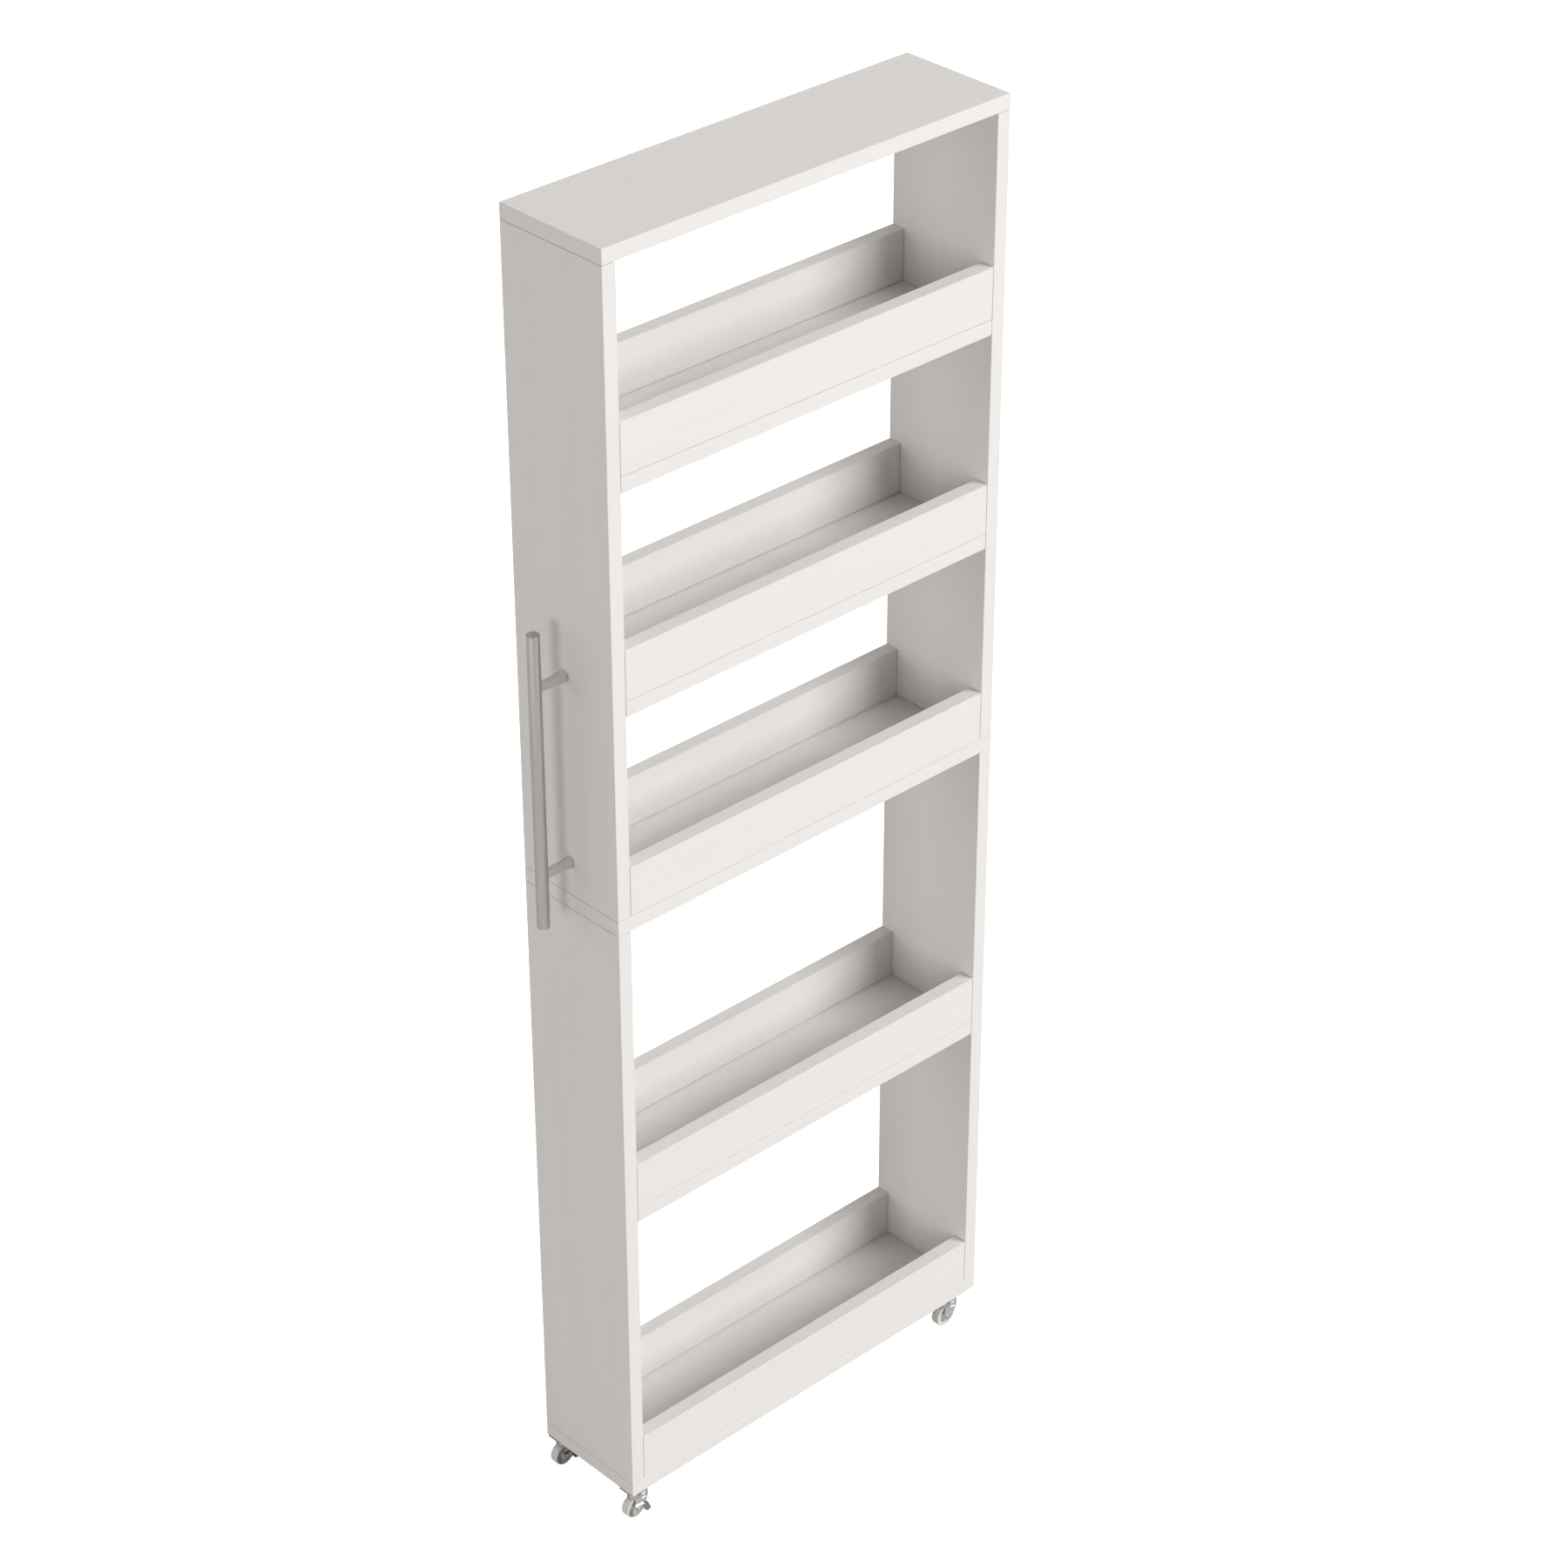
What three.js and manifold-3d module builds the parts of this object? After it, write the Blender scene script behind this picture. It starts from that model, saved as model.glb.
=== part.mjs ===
// Slim rolling pantry cart: a tall, narrow tower of white faced boards with five
// open trays, a steel bar handle on one end and four small swivel casters.
// Units are millimetres. X runs along the cart (handle end at -X), Y across it
// (the side the trays are reached from is -Y), Z is up and the floor is Z = 0.

import * as THREE from 'three'
import { mergeVertices } from 'three/addons/utils/BufferGeometryUtils.js'
import Module from 'manifold-3d'

const wasm = await Module()
wasm.setup()

// Boards
const LENGTH = 471.4          // outside of one end board to the outside of the other
const DEPTH = 127.8           // front edge to back edge
const BOARD = 15              // thickness of every board
const EASE = 0.6              // eased edges of the edge banding
const JOINT = 0.3             // seam between two boards
const RAIL_HEIGHT = 51.5      // tray rails, above the board they stand on

// Undersides of the level boards, above the cart's own underside
const MIDDLE_Z = 655
const TOP_Z = 1305.8
const SHELF_1_Z = 1093.8
const SHELF_2_Z = 876.3
const SHELF_4_Z = 328.3

// Handle
const BAR_RADIUS = 6
const BAR_LENGTH = 300
const BAR_STANDOFF = 33       // bar axis to the end board
const BAR_MIDDLE = 801        // height of the bar's middle above the cart's underside
const POST_SPACING = 192
const POST_RADIUS_BAR = 4.7
const POST_RADIUS_BOARD = 6
const SCREW_RADIUS = 2

// Casters
const CASTER_HEIGHT = 35      // floor to the underside of the bottom board
const WHEEL_RADIUS = 11.5
const WHEEL_HALF_WIDTH = 4.65
const TRAIL = 5.9             // swivel axis to wheel axis
const CASTER_X_HANDLE = 15.4  // swivel axis from the handle end
const CASTER_X_FAR = 442.5    // the far pair, from the same end
const CASTER_Y = 10.8         // swivel axis from the front and from the back edge
const RACE_RADIUS = 10.1
const FORK_HALF_WIDTH = 6.6   // outside of a fork leg from the middle
const SHEET = 1               // steel sheet of the fork and the lever
const AXLE_RADIUS = 1.5
const KINGPIN_RADIUS = 2
const PEDAL_REACH = 12.8      // outer lip of the brake pedal from the swivel axis

// Where the cart's own corner (handle end, front edge, underside) stands
const X0 = -(LENGTH - BAR_STANDOFF - BAR_RADIUS) / 2
const Y0 = -(DEPTH - (PEDAL_REACH - CASTER_Y)) / 2
const Z0 = CASTER_HEIGHT

const faced = new THREE.MeshStandardMaterial({ name: 'faced_board', color: 0xf1efec, roughness: 0.5 })
const steel = new THREE.MeshStandardMaterial({
  name: 'brushed_stainless', color: 0xb9b7b4, roughness: 0.32, metalness: 1 })
const plated = new THREE.MeshStandardMaterial({
  name: 'plated_steel', color: 0xc9c8cb, roughness: 0.22, metalness: 1 })
const zinc = new THREE.MeshStandardMaterial({
  name: 'zinc_steel', color: 0xaeb0b2, roughness: 0.4, metalness: 1 })
const tread = new THREE.MeshStandardMaterial({ name: 'wheel_plastic', color: 0xd8d6d0, roughness: 0.55 })

const cart = new THREE.Group()
cart.name = 'pantry_cart'
cart.position.set(X0, Y0, Z0)

function add(parent, name, geometry, material, x = 0, y = 0, z = 0) {
  const mesh = new THREE.Mesh(geometry, material)
  mesh.name = name
  mesh.position.set(x, y, z)
  parent.add(mesh)
  return mesh
}

// Solids and geometries

function toSolid(geometry) {
  const bare = geometry.clone()
  bare.deleteAttribute('normal')
  bare.deleteAttribute('uv')
  const merged = mergeVertices(bare, 1e-4)
  const index = merged.index.array
  const kept = []
  for (let i = 0; i < index.length; i += 3) {
    const [a, b, c] = [index[i], index[i + 1], index[i + 2]]
    if (a !== b && b !== c && a !== c) kept.push(a, b, c)
  }
  return new wasm.Manifold(new wasm.Mesh({
    numProp: 3,
    vertProperties: new Float32Array(merged.attributes.position.array),
    triVerts: new Uint32Array(kept),
  }))
}

function toGeometry(solid) {
  const mesh = solid.getMesh()
  const geometry = new THREE.BufferGeometry()
  geometry.setAttribute('position', new THREE.BufferAttribute(new Float32Array(mesh.vertProperties), 3))
  geometry.setIndex(new THREE.BufferAttribute(new Uint32Array(mesh.triVerts), 1))
  const flat = geometry.toNonIndexed()
  flat.computeVertexNormals()
  return flat
}

// Turns an extrusion's own Z (the thickness) on to the axis named
function along(axis, geometry) {
  const turn = new THREE.Matrix4()
  const [x, y, z] = [new THREE.Vector3(1, 0, 0), new THREE.Vector3(0, 1, 0), new THREE.Vector3(0, 0, 1)]
  if (axis === 'x') turn.makeBasis(y, z, x)
  if (axis === 'y') turn.makeBasis(z, x, y)
  return geometry.applyMatrix4(turn)
}

// A solid of revolution about the axis named; profile is [radius, distance along the axis]
function turned(profile, axis, segments = 20) {
  const geometry = new THREE.LatheGeometry(profile.map(([r, h]) => new THREE.Vector2(r, h)), segments)
  if (axis === 'z') geometry.rotateX(Math.PI / 2)
  if (axis === 'x') geometry.rotateZ(-Math.PI / 2)
  return toGeometry(toSolid(geometry))
}

function ring(profile, axis, segments = 20) {
  return turned([...profile, profile[0]], axis, segments)
}

function outline(points) {
  return new THREE.Shape(points.map(([u, v]) => new THREE.Vector2(u, v)))
}

function plain(shape, depth, from = 0, curveSegments = 10) {
  const geometry = new THREE.ExtrudeGeometry(shape, { depth, bevelEnabled: false, curveSegments })
  return geometry.translate(0, 0, from)
}

function circle(radius, u = 0, v = 0) {
  return new THREE.Shape().absarc(u, v, radius, 0, 2 * Math.PI, false)
}

function hull(points) {
  return wasm.Manifold.hull(points)
}

// Boards

// A board with eased edges, spanning the ranges given; its thickness lies along axis
function board(name, axis, xs, ys, zs, holes = []) {
  const spans = { x: [ys, zs, xs], y: [zs, xs, ys], z: [xs, ys, zs] }[axis]
  const [u, v, w] = spans
  const e = EASE
  const shape = outline([
    [u[0] + e, v[0]], [u[1] - e, v[0]], [u[1], v[0] + e], [u[1], v[1] - e],
    [u[1] - e, v[1]], [u[0] + e, v[1]], [u[0], v[1] - e], [u[0], v[0] + e],
  ])
  for (const [hu, hv, r] of holes) {
    shape.holes.push(new THREE.Path().absarc(hu, hv, r, 0, 2 * Math.PI, true))
  }
  const geometry = new THREE.ExtrudeGeometry(shape, {
    depth: w[1] - w[0] - 2 * e, bevelEnabled: true, bevelSegments: 1,
    bevelThickness: e, bevelSize: e, bevelOffset: -e, curveSegments: 6,
  }).translate(0, 0, w[0] + e)
  return add(cart, name, along(axis, geometry), faced)
}

const inside = [BOARD + JOINT, LENGTH - BOARD - JOINT]
const handleHoles = [-1, 1].map((s) => [DEPTH / 2, BAR_MIDDLE + s * POST_SPACING / 2, SCREW_RADIUS + 0.3])

board('bottom_board', 'z', [0, LENGTH], [0, DEPTH], [0, BOARD])
board('middle_board', 'z', [0, LENGTH], [0, DEPTH], [MIDDLE_Z, MIDDLE_Z + BOARD])
board('top_board', 'z', [0, LENGTH], [0, DEPTH], [TOP_Z, TOP_Z + BOARD])

const lower = [BOARD + JOINT, MIDDLE_Z - JOINT]
const upper = [MIDDLE_Z + BOARD + JOINT, TOP_Z - JOINT]
board('lower_handle_side_board', 'x', [0, BOARD], [0, DEPTH], lower)
board('upper_handle_side_board', 'x', [0, BOARD], [0, DEPTH], upper, handleHoles)
board('lower_far_side_board', 'x', [LENGTH - BOARD, LENGTH], [0, DEPTH], lower)
board('upper_far_side_board', 'x', [LENGTH - BOARD, LENGTH], [0, DEPTH], upper)

board('shelf_1_board', 'z', inside, [0, DEPTH], [SHELF_1_Z, SHELF_1_Z + BOARD])
board('shelf_2_board', 'z', inside, [0, DEPTH], [SHELF_2_Z, SHELF_2_Z + BOARD])
board('shelf_4_board', 'z', inside, [0, DEPTH], [SHELF_4_Z, SHELF_4_Z + BOARD])

// Each tray has a front and a back rail standing on its floor, flush with the edges
const trayFloors = [SHELF_1_Z, SHELF_2_Z, MIDDLE_Z, SHELF_4_Z, 0].map((z) => z + BOARD)
trayFloors.forEach((floor, i) => {
  const zs = [floor + JOINT, floor + RAIL_HEIGHT]
  board(`front_rail_${i + 1}`, 'y', inside, [0, BOARD], zs)
  board(`back_rail_${i + 1}`, 'y', inside, [DEPTH - BOARD, DEPTH], zs)
})

// Handle: a straight bar on two posts, each held by a screw from inside the end board

const handle = new THREE.Group()
handle.position.set(0, DEPTH / 2, BAR_MIDDLE)
cart.add(handle)

function handleBar() {
  const [r, half] = [BAR_RADIUS, BAR_LENGTH / 2]
  return turned([
    [0, -half], [r - 1.2, -half], [r - 0.35, -half + 0.35], [r, -half + 1.2],
    [r, half - 1.2], [r - 0.35, half - 0.35], [r - 1.2, half], [0, half],
  ], 'z', 32)
}

// The post widens towards the board, is hollowed to sit on the bar and drilled for its screw
function handlePost() {
  const end = BAR_STANDOFF - JOINT
  const profile = [[0, 0]]
  for (let i = 0; i <= 5; i++) {
    const t = i / 5
    profile.push([POST_RADIUS_BAR + (POST_RADIUS_BOARD - POST_RADIUS_BAR) * t * t, t * (end - 0.5)])
  }
  profile.push([POST_RADIUS_BOARD - 0.4, end], [0, end])
  const body = toSolid(turned(profile, 'x'))
  const bar = toSolid(plain(circle(BAR_RADIUS + 0.1), 40, -20))
  const drilling = toSolid(turned([[0, 20], [SCREW_RADIUS + 0.1, 21], [SCREW_RADIUS + 0.1, 40], [0, 40]], 'x'))
  return toGeometry(body.subtract(bar).subtract(drilling))
}

// Cross-recess pan head screw: its head bears on the inner face of the end board
function handleScrew() {
  const [under, r] = [BOARD + 0.1, SCREW_RADIUS]
  const shank = turned([
    [0, -10.5], [r - 0.5, -10.5], [r, -9.8], [r, under], [4.1, under], [4.3, under + 0.5],
    [4.1, under + 1.5], [3.1, under + 2.3], [0, under + 2.5],
  ], 'x')
  const head = toSolid(shank)
  const slot = (a) => hull([-1, 1].flatMap((s) => [-1, 1].flatMap((t) => [
    [under + 3, s * a[0], t * a[1]], [under + 1, s * a[0] * 0.8, t * a[1] * 0.8]])))
  return toGeometry(head.subtract(slot([2.2, 0.4])).subtract(slot([0.4, 2.2])))
}

add(handle, 'handle_bar', handleBar(), steel, -BAR_STANDOFF, 0, 0)
for (const [name, s] of [['lower', -1], ['upper', 1]]) {
  add(handle, `handle_post_${name}`, handlePost(), steel, -BAR_STANDOFF, 0, s * POST_SPACING / 2)
  add(handle, `handle_screw_${name}`, handleScrew(), zinc, 0, 0, s * POST_SPACING / 2)
}

// Casters. Each is built about its own swivel axis, with Z = 0 at the board above
// and the wheel trailing towards -X.

const AXLE_Z = WHEEL_RADIUS - CASTER_HEIGHT
const CUP_BOTTOM = -8.9
const CROWN_TOP = -9.2

// Pressed mounting plate with four screw holes and the upper cup of the ball race
function casterPlate() {
  const [hx, hy, c] = [16, 9.3, 2]
  const shape = outline([
    [-hx + c, -hy], [hx - c, -hy], [hx, -hy + c], [hx, hy - c],
    [hx - c, hy], [-hx + c, hy], [-hx, hy - c], [-hx, -hy + c],
  ])
  for (const [sx, sy] of [[-1, -1], [1, -1], [1, 1], [-1, 1]]) {
    shape.holes.push(new THREE.Path().absarc(sx * 13.1, sy * 6.4, 1.5, 0, 2 * Math.PI, true))
  }
  const flat = toSolid(plain(shape, 1.2, -1.3, 4))
  const cup = toSolid(ring([
    [KINGPIN_RADIUS + 0.1, -2.4], [6.9, -2.4], [9.1, -6.2], [9.1, CUP_BOTTOM], [RACE_RADIUS - 0.3, CUP_BOTTOM],
    [RACE_RADIUS, CUP_BOTTOM + 0.3], [RACE_RADIUS, -6.4], [RACE_RADIUS - 0.5, -5.6], [7.9, -2.2],
    [7.9, -0.5], [KINGPIN_RADIUS + 0.1, -0.5],
  ], 'z'))
  const bore = toSolid(plain(circle(KINGPIN_RADIUS + 0.1), 4, -3))
  return toGeometry(flat.subtract(bore).add(cup))
}

// The balls of the swivel race, as one ring
function ballRing() {
  const profile = []
  for (let i = 0; i < 6; i++) {
    const a = i * Math.PI / 3
    profile.push([7.6 + 1.3 * Math.cos(a), -7.8 + 1.3 * Math.sin(a)])
  }
  return ring(profile, 'z')
}

function kingpin() {
  const r = KINGPIN_RADIUS
  return turned([
    [0, -11.5], [3, -11.5], [3.7, -11.1], [3.7, -10.4], [r, -10.4], [r, -0.4], [0, -0.4],
  ], 'z')
}

// Outline of a fork leg, from the wheel's axis
const LEG = [
  [-1.7, 14.3], [-2.3, 8], [-3, 3.2], [-3.9, -0.4], [-3.6, -2.6], [-2.2, -4.3], [0, -5.2],
  [2.6, -5.3], [4.6, -4.7], [6.3, -3.5], [8.7, -0.9], [10.7, 2.7], [12.2, 6.7], [13.4, 10.8],
  [13.4, 14.3],
]

// One pressed piece: the round crown of the race and a leg bent down on each side of the wheel
function casterFork() {
  const [w, s, bend] = [FORK_HALF_WIDTH, SHEET, 1.6]
  const channel = new THREE.Shape()
  channel.moveTo(-w, -40).lineTo(-w, CROWN_TOP - bend)
  channel.absarc(-w + bend, CROWN_TOP - bend, bend, Math.PI, Math.PI / 2, true)
  channel.lineTo(w - bend, CROWN_TOP)
  channel.absarc(w - bend, CROWN_TOP - bend, bend, Math.PI / 2, 0, true)
  channel.lineTo(w, -40).lineTo(w - s, -40).lineTo(w - s, CROWN_TOP - bend)
  channel.absarc(w - bend, CROWN_TOP - bend, bend - s, 0, Math.PI / 2, false)
  channel.lineTo(-w + bend, CROWN_TOP - s)
  channel.absarc(-w + bend, CROWN_TOP - bend, bend - s, Math.PI / 2, Math.PI, false)
  channel.lineTo(-w + s, -40).lineTo(-w, -40)
  const folded = toSolid(along('x', plain(channel, 30, -15, 2)))
  const side = LEG.map(([x, z]) => [z + AXLE_Z, x - TRAIL])
  const cutOut = toSolid(along('y', plain(outline(side), 30, -15)))
  const crown = toSolid(ring([
    [KINGPIN_RADIUS + 0.1, CROWN_TOP - 1], [8.8, CROWN_TOP - 1], [9.1, CROWN_TOP - 2.2],
    [RACE_RADIUS - 0.3, CROWN_TOP - 2.2], [RACE_RADIUS, CROWN_TOP - 1.9], [RACE_RADIUS, CROWN_TOP - 0.3],
    [RACE_RADIUS - 0.3, CROWN_TOP], [6.1, CROWN_TOP], [5.6, -5], [4.6, -3.4], [KINGPIN_RADIUS + 0.1, -3.4],
  ], 'z'))
  const pinHole = toSolid(plain(circle(KINGPIN_RADIUS + 0.1), 20, -15))
  const axleHole = toSolid(along('y', plain(circle(AXLE_RADIUS + 0.1, AXLE_Z, -TRAIL), 30, -15, 8)))
  return toGeometry(folded.intersect(cutOut).add(crown).subtract(pinHole).subtract(axleHole))
}

// Moulded wheel: flat tread with rounded shoulders, raised rim, recessed web, long hub
function casterWheel() {
  const [r, h, b] = [WHEEL_RADIUS, WHEEL_HALF_WIDTH, AXLE_RADIUS + 0.08]
  return ring([
    [b, -4.9], [3.3, -4.9], [3.8, -3.2], [9.4, -3.2], [10, -h], [r - 0.8, -h], [r, -h + 0.8],
    [r, h - 0.8], [r - 0.8, h], [10, h], [9.4, 3.2], [3.8, 3.2], [3.3, 4.9], [b, 4.9],
  ], 'y', 28)
}

// Rivet through the fork, headed outside each leg; longer where it also carries a brake lever
function casterAxle(headY) {
  const r = AXLE_RADIUS
  return turned([
    [0, headY - 0.9], [1.6, headY - 0.9], [2.6, headY - 0.3], [2.6, headY], [r, headY],
    [r, FORK_HALF_WIDTH + 0.1], [2.4, FORK_HALF_WIDTH + 0.1], [2.4, FORK_HALF_WIDTH + 0.4],
    [1.5, FORK_HALF_WIDTH + 0.9], [0, FORK_HALF_WIDTH + 0.9],
  ], 'y', 16)
}

// Pressed brake lever: a lobe round the axle, an arm across the leg and a pedal bent outwards.
// It is drawn from the wheel's axis, and its outer face looks towards -Y.
const LEVER_INNER = -FORK_HALF_WIDTH - 0.3
const LEVER_OUTER = LEVER_INNER - SHEET
const LEVER = [
  [-3.6, 3.8], [-5.4, 2.2], [-6.8, -0.2], [-7, -2.4], [-6.4, -4.6], [-4.8, -6.3], [-2.8, -7.1],
  [-0.8, -7.1], [1.4, -5.8], [3.3, -4.4], [6, -3.6], [8, -3], [8.8, 3.3], [5, 3.3], [1.1, 3.8],
]

function brakeLever() {
  const side = LEVER.map(([x, z]) => [z, x])
  const arm = toSolid(along('y', plain(outline(side), SHEET, LEVER_OUTER)))
  const lip = -PEDAL_REACH
  const pedalTop = [
    [8.4, LEVER_OUTER + 0.3, 3.1], [12.2, LEVER_INNER, 2.9], [12.5, lip + 0.9, -1.1], [11.6, lip, -1.8],
    [8.2, lip, -2.4], [6.2, lip + 1.2, -2],
  ]
  const pedal = hull([...pedalTop, ...pedalTop.map(([x, y, z]) => [x, Math.min(y + 0.4, LEVER_INNER), z - 1.1])])
  const web = hull([
    [5.5, LEVER_INNER, 3.2], [5.5, LEVER_OUTER, 3.2], [5.5, LEVER_INNER, -3.5], [5.5, LEVER_OUTER, -3.5],
    [8.6, LEVER_INNER, 3.2], [8.6, LEVER_OUTER, 3.2], [8, LEVER_INNER, -2.9], [7, lip + 1.4, -2.4],
    [9.6, lip + 1.4, -2.4], [9.4, LEVER_INNER, 0],
  ])
  const hole = toSolid(along('y', plain(circle(AXLE_RADIUS + 0.12), 6, LEVER_OUTER - 2, 8)))
  return toGeometry(arm.add(pedal).add(web).subtract(hole))
}

function caster(tag, x, y, braked) {
  const group = new THREE.Group()
  group.position.set(x, y, 0)
  cart.add(group)
  add(group, `caster_${tag}_plate`, casterPlate(), zinc, 0, 0, 0)
  add(group, `caster_${tag}_ball_ring`, ballRing(), steel)
  add(group, `caster_${tag}_kingpin`, kingpin(), zinc)
  add(group, `caster_${tag}_fork`, casterFork(), plated)
  add(group, `caster_${tag}_wheel`, casterWheel(), tread, -TRAIL, 0, AXLE_Z)
  const headY = braked ? LEVER_OUTER - 0.1 : -FORK_HALF_WIDTH - 0.1
  add(group, `caster_${tag}_axle`, casterAxle(headY), zinc, -TRAIL, 0, AXLE_Z)
  if (braked) add(group, `caster_${tag}_brake_lever`, brakeLever(), plated, -TRAIL, 0, AXLE_Z)
}

caster('handle_front', CASTER_X_HANDLE, CASTER_Y, true)
caster('handle_back', CASTER_X_HANDLE, DEPTH - CASTER_Y, true)
caster('far_front', CASTER_X_FAR, CASTER_Y, false)
caster('far_back', CASTER_X_FAR, DEPTH - CASTER_Y, false)

export default cart
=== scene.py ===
import math

import bpy
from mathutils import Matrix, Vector


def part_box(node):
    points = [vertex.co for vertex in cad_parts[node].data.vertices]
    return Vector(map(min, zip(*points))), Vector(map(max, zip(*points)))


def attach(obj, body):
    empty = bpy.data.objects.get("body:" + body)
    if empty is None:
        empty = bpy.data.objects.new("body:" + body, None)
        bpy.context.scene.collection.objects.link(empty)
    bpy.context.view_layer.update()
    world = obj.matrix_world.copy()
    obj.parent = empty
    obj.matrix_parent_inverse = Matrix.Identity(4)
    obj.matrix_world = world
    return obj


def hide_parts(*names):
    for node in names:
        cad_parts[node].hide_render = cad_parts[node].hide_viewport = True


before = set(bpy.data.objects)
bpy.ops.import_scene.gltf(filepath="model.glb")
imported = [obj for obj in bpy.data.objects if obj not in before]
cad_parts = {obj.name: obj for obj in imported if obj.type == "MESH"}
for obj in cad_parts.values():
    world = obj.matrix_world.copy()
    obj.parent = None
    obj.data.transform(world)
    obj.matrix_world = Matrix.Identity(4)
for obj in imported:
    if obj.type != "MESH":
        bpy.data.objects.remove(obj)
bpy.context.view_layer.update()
bpy.ops.object.select_all(action="DESELECT")

# The camera, standing in front of the handle end and looking down on the cart with a
# long lens, so that the end board, the long open side and the top are all seen.
bpy.ops.object.camera_add(
    location=(-2.1924, -2.3796, 2.7517),
    rotation=(math.radians(90 - 32.006), 0, math.radians(-43.225)),
)
camera = bpy.context.object
camera.name = "camera"
camera.data.sensor_width = 36
camera.data.lens = 95.11
camera.data.clip_end = 100
bpy.context.scene.camera = camera
bpy.context.scene.view_settings.view_transform = "Standard"

# The studio: a white room that gives a faint even light and shows brighter in gloss, five
# panels of soft light (front right, left, behind on both sides, overhead) and a plain
# white floor that the wheels stand on.
AIM_HEIGHT = 0.7
FLOOR_SIZE = 60
room = bpy.data.worlds.new("white_room")
room.use_nodes = True
room.node_tree.nodes["Background"].inputs["Color"].default_value = (1, 0.93, 0.85, 1)
gleam = room.node_tree.nodes.new("ShaderNodeLightPath")
wall_light = room.node_tree.nodes.new("ShaderNodeMapRange")
wall_light.inputs["To Min"].default_value = 0.14
wall_light.inputs["To Max"].default_value = 0.42
room.node_tree.links.new(gleam.outputs["Is Glossy Ray"], wall_light.inputs["Value"])
room.node_tree.links.new(
    wall_light.outputs["Result"], room.node_tree.nodes["Background"].inputs["Strength"])
backdrop = room.node_tree.nodes.new("ShaderNodeBackground")
backdrop.inputs["Color"].default_value = (1, 1, 1, 1)
seen_or_lit = room.node_tree.nodes.new("ShaderNodeMixShader")
room.node_tree.links.new(gleam.outputs["Is Camera Ray"], seen_or_lit.inputs[0])
room.node_tree.links.new(room.node_tree.nodes["Background"].outputs[0], seen_or_lit.inputs[1])
room.node_tree.links.new(backdrop.outputs[0], seen_or_lit.inputs[2])
room.node_tree.links.new(
    seen_or_lit.outputs[0], room.node_tree.nodes["World Output"].inputs["Surface"])
bpy.context.scene.world = room


def soft_light(name, round_from_front, height, size, power, colour=(1, 1, 1), away=20):
    """A square panel of light aimed at the middle of the cart, placed by its two angles."""
    across, up = math.radians(round_from_front), math.radians(height)
    aim = Vector((0, 0, AIM_HEIGHT))
    place = aim + away * Vector(
        (math.sin(across) * math.cos(up), -math.cos(across) * math.cos(up), math.sin(up)))
    bpy.ops.object.light_add(type="AREA", location=place)
    light = bpy.context.object
    light.name = name
    light.rotation_euler = (aim - place).to_track_quat("-Z", "Y").to_euler()
    light.data.shape = "RECTANGLE"
    light.data.size, light.data.size_y = size
    light.data.energy = power
    light.data.color = colour


soft_light("key_light", 30, 28, (11.5, 12.5), 4150, (0.99, 0.995, 1))
soft_light("left_light", -73, 3, (5.5, 7), 1080, (1, 0.985, 0.965))
soft_light("back_left_light", -122, 12, (24, 20), 1600, (1, 0.97, 0.945))
soft_light("back_right_light", 140, 14, (20, 20), 900, (1, 0.985, 0.965))
soft_light("top_light", 0, 85, (10, 10), 540)

bpy.ops.mesh.primitive_plane_add(size=FLOOR_SIZE)
floor = bpy.context.object
floor.name = "studio_floor"
floor_paint = bpy.data.materials.new("floor_paint")
floor_paint.use_nodes = True
floor_shader = floor_paint.node_tree.nodes["Principled BSDF"]
floor_shader.inputs["Roughness"].default_value = 0.9
floor_shader.inputs["Specular IOR Level"].default_value = 0
floor_shader.inputs["Emission Color"].default_value = (1, 1, 1, 1)
seen = floor_paint.node_tree.nodes.new("ShaderNodeLightPath")
floor_paint.node_tree.links.new(
    seen.outputs["Is Camera Ray"], floor_shader.inputs["Emission Strength"])
paleness = floor_paint.node_tree.nodes.new("ShaderNodeMix")
paleness.data_type = "RGBA"
paleness.inputs[6].default_value = (0.5, 0.49, 0.48, 1)
paleness.inputs[7].default_value = (0.95, 0.94, 0.93, 1)
floor_paint.node_tree.links.new(seen.outputs["Is Glossy Ray"], paleness.inputs[0])
floor_paint.node_tree.links.new(paleness.outputs[2], floor_shader.inputs["Base Color"])
floor.data.materials.append(floor_paint)

# The boards: 15 mm chipboard, faced on both sides with off-white melamine that has a
# faint wood grain pressed into it. The edges that show are closed with a glued edge tape
# and eased; the ends hidden in the joints are left raw.
# EASING and TAPE_THICKNESS are in millimetres, as all sizes below are. A face whose normal
# lies along an axis to within FLAT is a flat side of the board.
BOARD_COLOUR = (0.785, 0.769, 0.755, 1)
GRAIN_COLOUR = (0.755, 0.733, 0.713, 1)
TAPE_COLOUR = (0.74, 0.70, 0.65, 1)
CHIP_COLOUR = (0.40, 0.32, 0.23, 1)
PALE_CHIP_COLOUR = (0.62, 0.52, 0.38, 1)
EASING = 0.45
TAPE_THICKNESS = 0.6
MM = 0.001
FLAT = 0.999


def new_material(name):
    material = bpy.data.materials.new(name)
    material.use_nodes = True
    return material, material.node_tree.nodes, material.node_tree.links


def pattern(nodes, links, kind, scale, stretch=(1, 1, 1), **settings):
    """A texture laid on the piece's own coordinates, in metres, stretched along each axis."""
    place = nodes.new("ShaderNodeTexCoord")
    mapping = nodes.new("ShaderNodeMapping")
    mapping.inputs["Scale"].default_value = stretch
    texture = nodes.new(kind)
    texture.inputs["Scale"].default_value = scale
    for name, value in settings.items():
        texture.inputs[name].default_value = value
    links.new(place.outputs["Object"], mapping.inputs["Vector"])
    links.new(mapping.outputs["Vector"], texture.inputs["Vector"])
    return texture


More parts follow.
